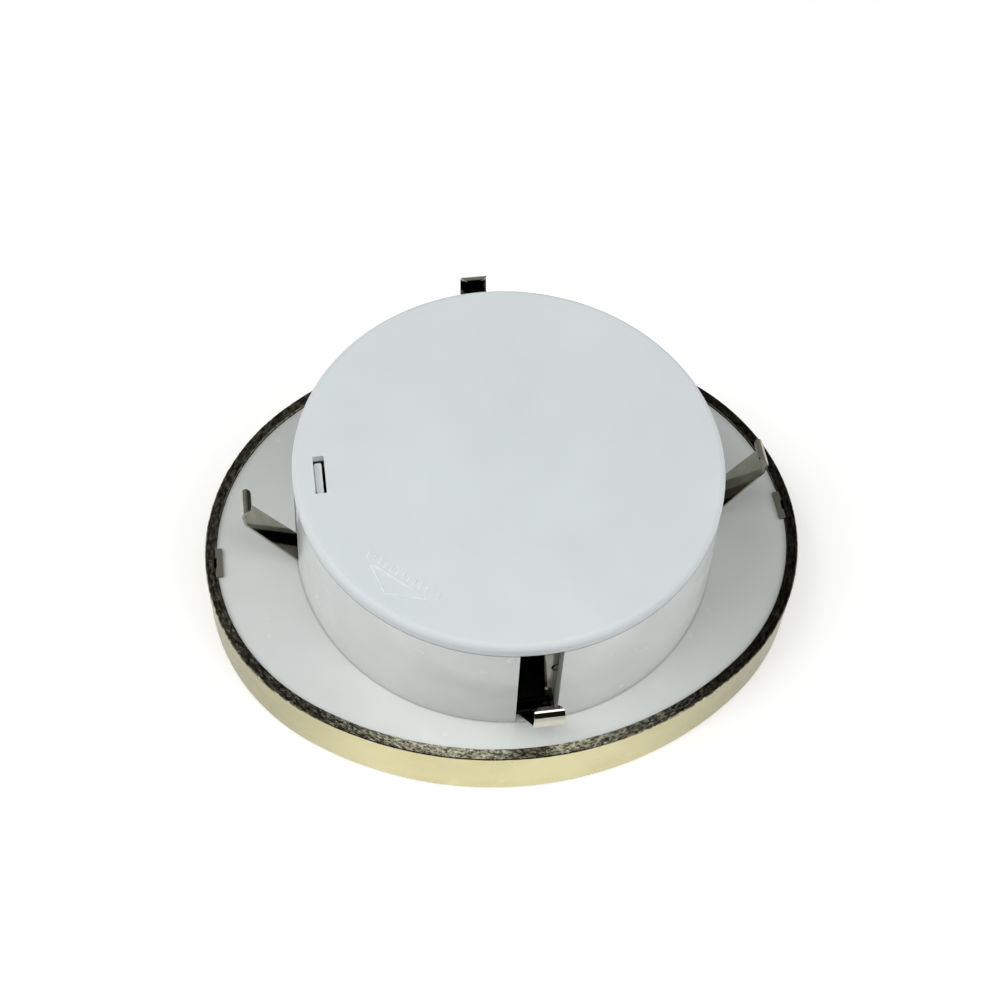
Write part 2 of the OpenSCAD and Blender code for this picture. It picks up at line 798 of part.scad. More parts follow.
module second_hand() {
    color("black") rotate(shown_s) {
        translate([0, 0, second_tip_z]) linear_extrude(0.3) difference() {
            union() {
                translate([-0.4, -14]) square([0.8, 14 + second_l]);
                translate([0, -12]) circle(2.2);
                circle(2.4);
            }
            circle(second_r + press);
        }
        tube(1.3, second_r + press, second_tip_z + 0.3 - eps, second_tip_z + 0.9);
    }
}

// A toothed disc with lightening holes.
module wheel_disc(n, m, phase, t, hub_r) {
    r = n * m / 2;
    hole_r = (r - 1.6 * m - hub_r) * 0.3;
    hole_at = (r - 1.6 * m + hub_r) / 2;
    linear_extrude(t) difference() {
        wheel_teeth(n, m, phase);
        for (a = [0:72:359]) rotate(a + 36) translate([hole_at, 0]) circle(r = hole_r, $fn = 24);
    }
}

module hour_wheel() {
    color("ivory") difference() {
        union() {
            rod(hour_r, hour_tip_z, hour_z + eps);
            translate([0, 0, hour_z])
                wheel_disc(hour_n, hour_module, hour_phase, wheel_t + 0.2, hour_r + 0.8);
        }
        rod(hour_in, hour_tip_z - 1, hour_z + 3);
    }
}

module cannon_pinion() {
    color("gold") difference() {
        union() {
            rod(cannon_r, minute_tip_z, minute_z);
            translate([0, 0, minute_z - 0.2]) linear_extrude(1.4) pinion_teeth(cannon_n, setting_module, 0);
            rod(drive_r, minute_z + 1, centre_z + wheel_t + 0.3);
        }
        rod(cannon_in, minute_tip_z - 1, centre_z + 3);
    }
}

module minute_wheel() {
    color("ivory") translate([minute_p[0], minute_p[1], 0]) difference() {
        union() {
            translate([0, 0, hour_z - 0.2]) linear_extrude(minute_z + 0.2 - hour_z)
                pinion_teeth(hour_pin_n, hour_module, 0);
            translate([0, 0, minute_z]) wheel_disc(minute_n, setting_module, minute_phase, wheel_t, 2.2);
        }
        rod(stud_r + run, hour_z - 1, minute_z + 3);
    }
}

module centre_wheel() {
    color("ivory") difference() {
        translate([0, 0, centre_z]) wheel_disc(centre_n, centre_module, centre_phase, wheel_t, 2.6);
        rod(drive_r + run, centre_z - 1, centre_z + 3);
    }
}

// An arbor with a thin pivot at each end, reaching into its bosses.
module arbor(r, z0, z1) {
    rod(r, z0, z1);
    rod(pivot_pin_r, z0 - 0.85, z1 + 0.85);
}

module third_wheel() {
    color("ivory") translate([third_p[0], third_p[1], 0]) {
        arbor(0.5, hour_z + 1.75, inter_z - 0.15);
        translate([0, 0, centre_z - 0.2]) linear_extrude(1.6)
            pinion_teeth(third_pin_n, centre_module, third_phase);
        translate([0, 0, third_z]) wheel_disc(third_n, third_module, third_phase, wheel_t, 2);
    }
}

module second_wheel() {
    color("ivory") {
        rod(second_r, second_tip_z, inter_z - 0.15);
        rod(pivot_pin_r, inter_z - 1, inter_z + 0.7);
        translate([0, 0, third_z - 0.2]) linear_extrude(1.8)
            pinion_teeth(second_pin_n, third_module, 0);
        translate([0, 0, second_z]) wheel_disc(second_n, second_module, 0, wheel_t, 2);
    }
}

module intermediate_wheel() {
    color("ivory") translate([inter_p[0], inter_p[1], 0]) {
        arbor(0.45, hour_z + 1.75, inter_z + wheel_t + 0.25);
        translate([0, 0, second_z - 0.2]) linear_extrude(1.6)
            pinion_teeth(inter_pin_n, second_module, inter_pin_phase);
        translate([0, 0, inter_z]) wheel_disc(inter_n, rotor_module, 0, wheel_t - 0.2, 1.6);
    }
}

module rotor() {
    color("gray") translate([rotor_p[0], rotor_p[1], 0]) {
        arbor(0.4, minute_z + 1.35, inter_z + wheel_t + 0.45);
        rod(3, magnet_z0, magnet_z1);
        translate([0, 0, inter_z - 0.2]) linear_extrude(1.4) pinion_teeth(rotor_n, rotor_module, rotor_phase);
    }
}

// Stator plate: a pole ring round the magnet and two arms to the ends of the coil.
module stator() {
    color("silver") translate([0, 0, stator_z]) linear_extrude(stator_t) difference() {
        union() {
            translate(rotor_p) circle(r = 6.1, $fn = 64);
            translate([-9, 15.1]) square([rotor_p[0] + 9, 2.0]);
            translate([-9, 15.1]) square([3.6, 10.9]);
            translate([rotor_p[0], 9.8]) square([25 - rotor_p[0], 3.2]);
            translate([21.4, 9.8]) square([3.6, 14.4]);
        }
        translate(rotor_p) circle(r = 3.5, $fn = 64);
        for (s = [1, -1]) translate(rotor_p + s * [2.55, 2.55]) circle(r = 0.5, $fn = 24);
    }
}

module coil_core_box(y_half, z_half, x0, x1) {
    translate([x0, coil_y - y_half, coil_z - z_half]) cube([x1 - x0, 2 * y_half, 2 * z_half]);
}

module coil_bobbin() {
    color("dimgray") {
        coil_core_box(1.4, 0.5, -9, 25);
        for (x = [coil_x0 - 0.7, coil_x1]) translate([x, coil_y, coil_z]) rotate([0, 90, 0])
            cylinder(h = 0.7, r = coil_r + 0.2, $fn = 48);
        translate([coil_x0 - 0.5, coil_y, coil_z]) rotate([0, 90, 0])
            cylinder(h = coil_x1 - coil_x0 + 1, r = barrel_r, $fn = 48);
    }
}

module coil_winding() {
    color("peru") translate([coil_x0 + press, coil_y, coil_z]) rotate([0, 90, 0])
        tube(coil_r, barrel_r + press, 0, coil_x1 - coil_x0 - 2 * press);
}

module circuit_board() {
    color("darkgreen") {
        translate([-26, 16.6, board_z]) cube([14.6, 9.6, 0.8]);
        translate([-19, 20, board_z + 0.8 - eps]) cylinder(h = 0.9, r1 = 2.4, r2 = 1.6, $fn = 32);
    }
}

module quartz_crystal() {
    color("silver") translate([-25, 24.8, board_z + 0.8 + 1.0]) rotate([0, 90, 0])
        cylinder(h = 6, r = 1.0, $fn = 32);
}

module battery() {
    color("darkred") translate([cell_x0, cell_y, cell_z]) rotate([0, 90, 0]) {
        cylinder(h = cell_l, r = cell_d / 2);
        translate([0, 0, cell_l - eps]) cylinder(h = nub_l + eps, r = 2.75, $fn = 48);
    }
}

// Flat strip at the nub end, hooked over the edge of the case.
module positive_contact() {
    x_wall = bay_x - contact_t / 2;
    x_hook = mv_half + 0.05 + contact_t / 2;
    top = mv_z1 + contact_t / 2;
    strip = [[x_wall, mv_in0 + 1.5], [x_wall, top], [x_hook, top], [x_hook, mv_z1 - hook_h]];
    color("silver") translate([0, cell_y + contact_w / 2, 0]) rotate([90, 0, 0])
        linear_extrude(contact_w) polygon(strip_outline(strip, contact_t));
}

// Leaf spring at the flat end of the cell, hooked over the case like the other contact.
module negative_contact() {
    x_wall = -bay_x + contact_t / 2;
    x_hook = -mv_half - 0.05 - contact_t / 2;
    top = mv_z1 + contact_t / 2;
    x_bulge = cell_x0 - 0.1 - contact_t / 2;
    leaf = [
        [x_hook, mv_z1 - hook_h], [x_hook, top], [x_wall, top], [x_wall, mv_z1 - 1.5],
        [x_bulge, cell_z + 1.8], [x_bulge, cell_z - 1.8], [x_wall, mv_in0 + 2]
    ];
    color("silver") translate([0, cell_y + contact_w / 2, 0]) rotate([90, 0, 0])
        linear_extrude(contact_w) polygon(strip_outline(leaf, contact_t));
}

// Knurled knob on the back of the movement, with the pinion that turns the minute wheel.
module setting_knob() {
    knob_z = mv_z1 + 0.3;
    color("white") translate([knob_p[0], knob_p[1], 0]) {
        rod(knob_stem_r, minute_z, knob_z + eps);
        rod(pivot_pin_r, hour_z + 0.1, minute_z + 1);
        rod(0.7, hour_z + 1.05, minute_z + eps);
        translate([0, 0, minute_z - 0.1]) linear_extrude(1.2)
            pinion_teeth(cannon_n, setting_module, knob_phase);
        translate([0, 0, knob_z]) linear_extrude(2.4) difference() {
            circle(knob_r);
            for (a = [0:20:359]) rotate(a) translate([knob_r + 0.35, 0]) circle(r = 0.7, $fn = 24);
        }
        rod(knob_r - 2, knob_z + 2.4 - eps, knob_z + 2.9);
    }
}

bezel();
lens();
reflector_ring();
dial();
housing();
back_cover();
clip_legs();
clip_spring(0);  // clip_spring_right
clip_spring(90);  // clip_spring_rear
clip_spring(180);  // clip_spring_left
clip_spring(270);  // clip_spring_front
movement_case();
movement_cover();
centre_bush();
hex_nut();
brass_washer();
rubber_washer();
hour_hand();
minute_hand();
second_hand();
hour_wheel();
cannon_pinion();
minute_wheel();
centre_wheel();
third_wheel();
second_wheel();
intermediate_wheel();
rotor();
stator();
coil_bobbin();
coil_winding();
circuit_board();
quartz_crystal();
battery();
positive_contact();
negative_contact();
setting_knob();
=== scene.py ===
import math

import bpy
from mathutils import Matrix, Vector


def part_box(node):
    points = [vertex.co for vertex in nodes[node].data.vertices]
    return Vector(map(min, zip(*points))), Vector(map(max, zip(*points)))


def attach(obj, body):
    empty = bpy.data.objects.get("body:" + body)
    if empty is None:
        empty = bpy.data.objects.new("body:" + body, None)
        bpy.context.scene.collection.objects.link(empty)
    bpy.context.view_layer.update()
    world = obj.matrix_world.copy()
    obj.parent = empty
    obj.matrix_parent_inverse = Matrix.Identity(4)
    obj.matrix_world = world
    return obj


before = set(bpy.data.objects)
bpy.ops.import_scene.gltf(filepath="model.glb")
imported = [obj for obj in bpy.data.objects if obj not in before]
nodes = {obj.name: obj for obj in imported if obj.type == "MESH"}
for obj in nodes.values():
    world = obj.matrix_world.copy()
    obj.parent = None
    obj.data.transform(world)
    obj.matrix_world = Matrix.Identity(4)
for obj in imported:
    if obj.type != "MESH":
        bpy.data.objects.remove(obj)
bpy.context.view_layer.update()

# Lengths are given in millimetres and turned into Blender's metres by MM.
MM = 0.001

# Places on the CAD model
RIM_Z = 16.1
FLANGE_EDGE_Z = 15.8
CUP_ROOT_R = 52.35
SEAM_LOW_Z, SEAM_HIGH_Z, SEAM_R = 46.1, 46.26, 50.55
CUP_FLOOR_LOW_Z, CUP_FLOOR_HIGH_Z, CUP_FLOOR_R = 14.9, 15.5, 50.3
LATCH_Z, LATCH_R = 44.0, 48.9
COVER_TOP = 50.4
COVER_CROWN = 0.4
COVER_FLAT_R = 49.2
COVER_SEAM_Z, COVER_SEAM_R = 46.5, 50.3
LACQUER_END_Z = 15.86
BEZEL_STEP_Z = 12.0
TAB_X, TAB_Z, TAB_HALF_WIDTH, TAB_SHIFT = 72.25, 15.3, 4.05, 0.7
WINDOW_IN_X, WINDOW_OUT_X, WINDOW_HALF_WIDTH = 71.9, 73.2, 1.39
WINDOW_LOW_Z, WINDOW_HIGH_Z = 14.2, 16.05
CLIP_FOOT_Z, CLIP_FOOT_R = 16.9, 49.4

# Widths over which a mask fades out
HAIR = 0.02
SHARP = 0.05
SOFT = 0.1


def rgb(r, g, b):
    """A screen colour from 0 to 255 as Blender's linear colour."""
    def lin(c):
        c /= 255.0
        return c / 12.92 if c <= 0.04045 else ((c + 0.055) / 1.055) ** 2.4
    return (lin(r), lin(g), lin(b), 1.0)


class Nodes:
    """Short calls that add nodes to one shader tree."""

    def __init__(self, tree, coords):
        self.tree = tree
        self.coords = coords

    def plug(self, socket, value):
        """Link a node's output to a socket, or set a plain value on it."""
        if isinstance(value, bpy.types.NodeSocket):
            self.tree.links.new(value, socket)
        else:
            socket.default_value = value

    def op(self, kind, a, b=0.0, c=0.0):
        n = self.tree.nodes.new("ShaderNodeMath")
        n.operation = kind
        for i, v in enumerate((a, b, c)):
            self.plug(n.inputs[i], v)
        return n.outputs[0]

    def axes(self, vector=None):
        n = self.tree.nodes.new("ShaderNodeSeparateXYZ")
        self.plug(n.inputs[0], vector or self.coords)
        return n.outputs

    def span(self, value, low, high, out_low=0.0, out_high=1.0, smooth=False):
        n = self.tree.nodes.new("ShaderNodeMapRange")
        n.interpolation_type = "SMOOTHSTEP" if smooth else "LINEAR"
        self.plug(n.inputs["Value"], value)
        n.inputs["From Min"].default_value = low
        n.inputs["From Max"].default_value = high
        n.inputs["To Min"].default_value = out_low
        n.inputs["To Max"].default_value = out_high
        return n.outputs[0]


class Finish(Nodes):
    """One material built from nodes, on the object's own coordinates."""

    def __init__(self, name, color, rough=0.4, metal=0.0, **sockets):
        self.name = name
        self.mat = bpy.data.materials.new(name)
        self.mat.use_nodes = True
        tree = self.mat.node_tree
        super().__init__(tree, tree.nodes.new("ShaderNodeTexCoord").outputs["Object"])
        self.shader = tree.nodes["Principled BSDF"]
        self.normal = None
        self.set("Base Color", color)
        self.set("Roughness", rough)
        self.set("Metallic", metal)
        for key, value in sockets.items():
            self.set(key.replace("_", " "), value)
        self.mat.diffuse_color = color

    def set(self, key, value):
        self.plug(self.shader.inputs[key], value)

    def above(self, value, start, fade=SHARP):
        """Mask that rises from 0 at start to 1, in millimetres."""
        return self.span(value, start * MM, (start + fade) * MM)

    def below(self, value, end, fade=SHARP):
        """Mask that falls from 1 at end to 0, in millimetres."""
        return self.span(value, end * MM, (end + fade) * MM, 1.0, 0.0)

    def slope(self, value, start, end, low=0.0, high=1.0):
        """Gentle change from low at start to high at end, in millimetres."""
        return self.span(value, start * MM, end * MM, low, high, smooth=True)

    def all_of(self, first, *others):
        for other in others:
            first = self.op("MULTIPLY", first, other)
        return first

    def any_of(self, first, *others):
        for other in others:
            first = self.op("MAXIMUM", first, other)
        return first

    def radius(self):
        """Distance from the axis of the hands."""
        x, y = self.axes()[:2]
        return self.op("SQRT", self.op("ADD", self.op("MULTIPLY", x, x), self.op("MULTIPLY", y, y)))

    def polar(self):
        """Angle round the axis of the hands as an arc at 50 mm, radius and height, as one vector."""
        x, y, z = self.axes()
        arc = self.op("MULTIPLY", self.op("ARCTAN2", y, x), 50 * MM)
        n = self.tree.nodes.new("ShaderNodeCombineXYZ")
        for i, v in enumerate((arc, self.radius(), z)):
            self.plug(n.inputs[i], v)
        return n.outputs[0]

    def stretched(self, scale, turn=(0, 0, 0), vector=None):
        n = self.tree.nodes.new("ShaderNodeMapping")
        self.plug(n.inputs["Vector"], vector or self.coords)
        n.inputs["Scale"].default_value = scale
        n.inputs["Rotation"].default_value = turn
        return n.outputs[0]

    def noise(self, size_mm, detail=3.0, rough=0.55, vector=None, distort=0.0):
        n = self.tree.nodes.new("ShaderNodeTexNoise")
        n.inputs["Scale"].default_value = 1.0 / (size_mm * MM)
        n.inputs["Detail"].default_value = detail
        n.inputs["Roughness"].default_value = rough
        n.inputs["Distortion"].default_value = distort
        self.plug(n.inputs["Vector"], vector or self.coords)
        return n.outputs["Fac"]

    def cloud(self, size_mm, detail=3.0, low=0.0, high=1.0):
        """Soft noise spread over low to high."""
        return self.span(self.noise(size_mm, detail), 0.3, 0.7, low, high)

    def cell_borders(self, size_mm):
        n = self.tree.nodes.new("ShaderNodeTexVoronoi")
        n.feature = "DISTANCE_TO_EDGE"
        n.inputs["Scale"].default_value = 1.0 / (size_mm * MM)
        self.plug(n.inputs["Vector"], self.coords)
        return n.outputs["Distance"]

    def blend(self, factor, a, b):
        """Colour a where the factor is 0, colour b where it is 1."""
        n = self.tree.nodes.new("ShaderNodeMix")
        n.data_type = "RGBA"
        self.plug(n.inputs["Factor"], factor)
        self.plug(n.inputs[6], a)
        self.plug(n.inputs[7], b)
        return n.outputs[2]

    def blend_value(self, factor, a, b):
        """Number a where the factor is 0, number b where it is 1."""
        n = self.tree.nodes.new("ShaderNodeMix")
        n.data_type = "FLOAT"
        self.plug(n.inputs[0], factor)
        self.plug(n.inputs[2], a)
        self.plug(n.inputs[3], b)
        return n.outputs[0]

    def bump(self, height, depth_mm):
        """Relief on top of the relief already there."""
        n = self.tree.nodes.new("ShaderNodeBump")
        n.inputs["Strength"].default_value = 1.0
        n.inputs["Distance"].default_value = depth_mm * MM
        self.plug(n.inputs["Height"], height)
        if self.normal:
            self.plug(n.inputs["Normal"], self.normal)
        self.normal = n.outputs[0]
        self.set("Normal", self.normal)


def shade(obj, finish):
    obj.data.materials.clear()
    obj.data.materials.append(finish.mat)


def cup_plastic():
    f = Finish("housing_white", rgb(222, 223, 220), 0.22)
    x, y, z = f.axes()
    radius = f.radius()
    white = f.blend(f.cloud(22, 2.0), rgb(210, 214, 212), rgb(219, 223, 221))
    # Painted shade: the flange is a little darker towards the right and rear.
    flange_shade = f.any_of(f.slope(x, 10, 68), f.slope(y, -5, 45))
    flange_shade = f.all_of(flange_shade, f.below(z, FLANGE_EDGE_Z, SOFT))
    white = f.blend(flange_shade, white, rgb(197, 201, 198))
    # Painted light makes the latch at the top of the cup lighter than the rest.
    latch_light = f.all_of(f.above(z, LATCH_Z, SOFT), f.below(radius, LATCH_R, SOFT))
    white = f.blend(latch_light, white, rgb(252, 253, 252))
    # Painted shade in the corner between cup and flange
    off_corner = f.op("ABSOLUTE", f.op("SUBTRACT", radius, CUP_ROOT_R * MM))
    corner = f.all_of(f.below(off_corner, 0.05, 0.35), f.below(z, CUP_FLOOR_HIGH_Z, 0.2))
    white = f.blend(corner, white, rgb(182, 185, 182))
    # Painted shadow in the joint under the cover, and painted shade that makes the floor inside the cup
    # dark
    seam = f.all_of(f.above(z, SEAM_LOW_Z), f.below(z, SEAM_HIGH_Z, HAIR), f.above(radius, SEAM_R))
    white = f.blend(seam, white, rgb(96, 99, 98))
    inside = f.all_of(
        f.below(z, CUP_FLOOR_HIGH_Z, SOFT),
        f.below(radius, CUP_FLOOR_R, SOFT),
        f.above(z, CUP_FLOOR_LOW_Z, SOFT),
    )
    f.set("Base Color", f.blend(inside, white, rgb(12, 12, 12)))
    f.set("Roughness", f.cloud(6, 4.0, 0.16, 0.28))
    f.bump(f.noise(12, 1.0), 0.03)
    f.set("Coat Weight", 0.25)
    f.set("Coat Roughness", 0.12)
    return f


def cover_plastic():
    f = Finish("cover_white", rgb(214, 220, 222), 0.5)
    white = f.blend(f.cloud(30, 2.0), rgb(210, 217, 219), rgb(216, 223, 225))
    # Painted shadow along the joint at the cover's lower edge
    seam = f.all_of(f.below(f.axes()[2], COVER_SEAM_Z, SOFT), f.above(f.radius(), COVER_SEAM_R, SOFT))
    f.set("Base Color", f.blend(seam, white, rgb(96, 100, 100)))
    f.set("Roughness", f.cloud(8, 3.0, 0.46, 0.56))
    f.bump(f.noise(14, 2.0), 0.04)
    f.bump(f.noise(0.35, 2.0), 0.006)
    return f


def bezel_metal():
    f = Finish("bezel_gold", rgb(226, 217, 165), 0.32, 0.8)
    x, y, z = f.axes()
    normal_x, normal_y = f.axes(f.tree.nodes.new("ShaderNodeNewGeometry").outputs["Normal"])[:2]
    # The lacquer ends just under the back rim, at a slightly uneven line, and leaves the inner wall bare.
    line = f.op("ADD", f.op("MULTIPLY", f.noise(5, 3.0), 0.12 * MM), z)
    bare_top = f.above(line, LACQUER_END_Z, 0.07)
    outward = f.op("ADD", f.op("MULTIPLY", x, normal_x), f.op("MULTIPLY", y, normal_y))
    bare_inside = f.all_of(f.below(outward, -10.0, 8.0), f.above(z, BEZEL_STEP_Z, 0.5))
    # Ground rim: specks drawn out along the rim, with painted shade making it darker towards the right
    polar = f.polar()
    grain = f.noise(0.55, 4.0, 0.7, f.stretched((0.6, 1.0, 1.0), vector=polar))
    scratches = f.noise(0.7, 3.0, 0.6, f.stretched((1.0, 0.3, 1.0), (0, 0, 0.5), vector=polar), 0.4)
    speck = f.span(grain, 0.42, 0.62)
    lit_steel = f.blend(speck, rgb(88, 86, 72), rgb(246, 240, 212))
    shaded_steel = f.blend(speck, rgb(46, 45, 38), rgb(150, 146, 126))
    steel = f.blend(f.slope(x, 25, 60), lit_steel, shaded_steel)
    # The bent tabs are rougher and plainer than the ground rim, and painted shade darkens the insides of
    # their windows.
    side_x = f.op("ABSOLUTE", x)
    side_y = f.op("ABSOLUTE", f.op("ADD", y, TAB_SHIFT * MM))
    tab = f.all_of(
        f.below(side_x, TAB_X, SOFT),
        f.above(z, TAB_Z, SOFT),
        f.below(side_y, TAB_HALF_WIDTH, SOFT),
    )
    window_shade = f.all_of(
        f.below(side_y, WINDOW_HALF_WIDTH, HAIR),
        f.below(z, WINDOW_HIGH_Z, 0.03),
        f.above(side_x, WINDOW_IN_X),
        f.above(z, WINDOW_LOW_Z),
        f.below(side_x, WINDOW_OUT_X, SOFT),
    )
    steel = f.blend(tab, steel, rgb(140, 140, 128))
    steel = f.blend(window_shade, steel, rgb(12, 12, 11))
    bare = f.any_of(bare_top, bare_inside, tab, window_shade)
    ground = f.all_of(bare, f.op("SUBTRACT", 1.0, tab))
    # Painted shade darkens the gold towards both ends of the oval.
    gold = f.blend(f.cloud(18, 2.0), rgb(204, 196, 147), rgb(214, 207, 161))
    end_shade = f.any_of(f.slope(x, 14, 60), f.slope(x, -74, -34, 1.0, 0.0))
    gold = f.blend(end_shade, gold, rgb(148, 143, 106))
    steel_rough = f.blend_value(tab, f.span(grain, 0.3, 0.7, 0.14, 0.24), 0.5)
    f.set("Base Color", f.blend(bare, gold, steel))
    f.set("Metallic", f.blend_value(bare, 0.8, 1.0))
    f.set("Roughness", f.blend_value(bare, f.cloud(3, 3.0, 0.27, 0.36), steel_rough))
    f.bump(f.all_of(ground, f.op("ADD", grain, f.op("MULTIPLY", scratches, 0.8))), 0.055)
    return f


def spring_steel():
    f = Finish("spring_steel", rgb(205, 201, 190), 0.1, 1.0)
    lines = f.noise(0.5, 3.0, 0.6, f.stretched((1.0, 1.0, 0.08)))
    metal = f.blend(f.cloud(4), rgb(162, 160, 145), rgb(180, 178, 165))
    # Painted shade darkens the feet of the clips inside the cup.
    foot = f.all_of(f.below(f.axes()[2], CLIP_FOOT_Z, SOFT), f.below(f.radius(), CLIP_FOOT_R, SOFT))
    f.set("Base Color", f.blend(foot, metal, rgb(34, 32, 27)))
    f.set("Roughness", f.span(lines, 0.3, 0.7, 0.06, 0.13))
    f.bump(lines, 0.001)
    f.bump(f.noise(4.0, 2.0), 0.01)
    return f


def clear_glass():
    f = Finish("glass", (0.97, 0.99, 0.985, 1.0), 0.01, 0.0, Transmission_Weight=1.0, IOR=1.5)
    f.set("Roughness", f.span(f.noise(25, 3.0), 0.4, 0.8, 0.0, 0.02))
    f.bump(f.noise(40, 1.0), 0.01)
    return f


def plain(name, dark, light, cloud_mm, rough_low, rough_high, metal, grain_mm, depth):
    """Moulded or lacquered surface: two tones of cloudy colour, uneven gloss and a fine grain."""
    f = Finish(name, light, rough_low, metal)
    f.set("Base Color", f.blend(f.cloud(cloud_mm), dark, light))
    f.set("Roughness", f.cloud(cloud_mm * 0.4, 3.0, rough_low, rough_high))
    f.bump(f.noise(grain_mm, 3.0), depth)
    return f


def turned(name, dark, light, rough_low, rough_high):
    """Metal with fine rings round the axis of the hands from turning."""
    pitch = 0.22
    f = Finish(name, light, rough_low, 1.0)
    along = f.op("ADD", f.radius(), f.axes()[2])
    rings = f.op("SINE", f.op("MULTIPLY", along, 2 * math.pi / (pitch * MM)))
    f.set("Base Color", f.blend(f.cloud(3), dark, light))
    f.set("Roughness", f.cloud(1.5, 3.0, rough_low, rough_high))
    f.bump(rings, 0.003)
    return f


def coil_copper():
    wire = 0.30
    f = Finish("copper", rgb(196, 116, 62), 0.28, 0.9)
    turns = f.op("SINE", f.op("MULTIPLY", f.axes()[0], 2 * math.pi / (wire * MM)))
    # Painted shade darkens the grooves between the turns of wire.
    f.set("Base Color", f.blend(f.span(turns, -1.0, 0.4), rgb(110, 54, 26), rgb(206, 126, 70)))
    f.set("Roughness", f.cloud(2, 3.0, 0.22, 0.38))
    f.bump(turns, 0.06)
    f.set("Coat Weight", 0.5)
    return f


def circuit_lacquer():
    f = Finish("board_green", rgb(22, 92, 52), 0.3)
    track = f.span(f.cell_borders(1.7), 0.10, 0.14, 1.0, 0.0)
    f.set("Base Color", f.blend(track, rgb(18, 78, 44), rgb(46, 128, 74)))
    f.set("Roughness", f.cloud(2, 3.0, 0.24, 0.36))
    f.bump(track, 0.02)
    f.set("Coat Weight", 0.6)
    f.set("Coat Roughness", 0.15)
    return f


def cell_sleeve():
    """Red sleeve with a gold band and a black end with a plus mark, between two bare metal ends."""
    nub, foot = 1.42, 0.5
    band_start, band_end = 33, 35
    plus_at, plus_reach, plus_half = 41, 2.0, 0.45
    f = Finish("cell_red", rgb(120, 22, 20), 0.28)
    x, y = f.axes()[:2]
    lo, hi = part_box("battery")
    left, right = lo[0] / MM, hi[0] / MM
    metal = f.any_of(f.above(x, right - nub, 0.04), f.below(x, left + foot))
    body = f.blend(f.cloud(8), rgb(112, 18, 18), rgb(134, 28, 24))
    body = f.blend(f.above(x, left + band_end), body, rgb(28, 27, 28))
    band = f.all_of(f.above(x, left + band_start), f.below(x, left + band_end))
    body = f.blend(band, body, rgb(196, 170, 96))
    dx = f.op("ABSOLUTE", f.op("SUBTRACT", x, (left + plus_at) * MM))
    dy = f.op("ABSOLUTE", f.op("SUBTRACT", y, (lo[1] + hi[1]) / 2))
    plus = f.any_of(
        f.all_of(f.below(dx, plus_reach), f.below(dy, plus_half)),
        f.all_of(f.below(dx, plus_half), f.below(dy, plus_reach)),
    )
    body = f.blend(plus, body, rgb(214, 206, 190))
    f.set("Base Color", f.blend(metal, body, rgb(196, 196, 196)))
    f.set("Metallic", metal)
    f.set("Roughness", f.blend_value(metal, f.cloud(3, 3.0, 0.22, 0.34), 0.25))
    f.bump(f.noise(1.2, 2.0), 0.006)
    f.set("Coat Weight", 0.4)
    return f


# Plain finishes: dark tone, light tone, cloud size, roughness from and to, metal, grain size, grain depth
PLAIN = {
    "ring_gold": ((206, 184, 118), (224, 205, 144), 12, 0.24, 0.34, 0.6, 8.0, 0.02),
    "dial_white": ((238, 236, 226), (244, 243, 235), 16, 0.42, 0.55, 0.0, 0.4, 0.004),
    "black_plastic": ((6, 6, 7), (10, 10, 11), 9, 0.45, 0.58, 0.0, 0.35, 0.012),
    "rubber": ((22, 22, 22), (34, 34, 33), 4, 0.6, 0.75, 0.0, 0.3, 0.02),
    "hand_black": ((16, 16, 17), (26, 26, 28), 6, 0.24, 0.36, 0.0, 0.3, 0.004),
    "wheel_plastic": ((226, 220, 200), (238, 233, 216), 4, 0.32, 0.45, 0.0, 0.25, 0.006),
    "magnet": ((66, 66, 70), (92, 92, 96), 1.5, 0.35, 0.5, 0.9, 0.2, 0.01),
    "soft_iron": ((140, 142, 146), (178, 180, 184), 5, 0.25, 0.4, 1.0, 0.3, 0.006),
    "bobbin_plastic": ((38, 38, 42), (52, 52, 56), 4, 0.35, 0.5, 0.0, 0.3, 0.01),
    "can_steel": ((186, 186, 190), (208, 208, 212), 2, 0.12, 0.2, 1.0, 0.3, 0.003),
    "knob_white": ((220, 219, 212), (230, 229, 223), 5, 0.28, 0.4, 0.0, 0.3, 0.006),
    "print_black": ((16, 16, 18), (28, 28, 30), 4, 0.4, 0.55, 0.0, 0.2, 0.003),
    # Raised lines of the cover carry a painted highlight, a little lighter than the plate round them.
    "cover_raised_lit": ((218, 224, 226), (228, 233, 235), 3, 0.36, 0.46, 0.0, 0.3, 0.004),
    "mark_grey": ((34, 34, 36), (48, 48, 50), 4, 0.4, 0.55, 0.0, 0.2, 0.003),
}
finishes = {}
for name, (dark, light, *rest) in PLAIN.items():
    finishes[name] = plain(name, rgb(*dark), rgb(*light), *rest)
finishes["black_plastic"].set("Specular IOR Level", 0.06)
for finish in (
    turned("brass", rgb(196, 160, 84), rgb(222, 190, 116), 0.18, 0.3),
    cup_plastic(),
    cover_plastic(),
    bezel_metal(),
    spring_steel(),
    clear_glass(),
    coil_copper(),
    circuit_lacquer(),
    cell_sleeve(),
):
    finishes[finish.name] = finish

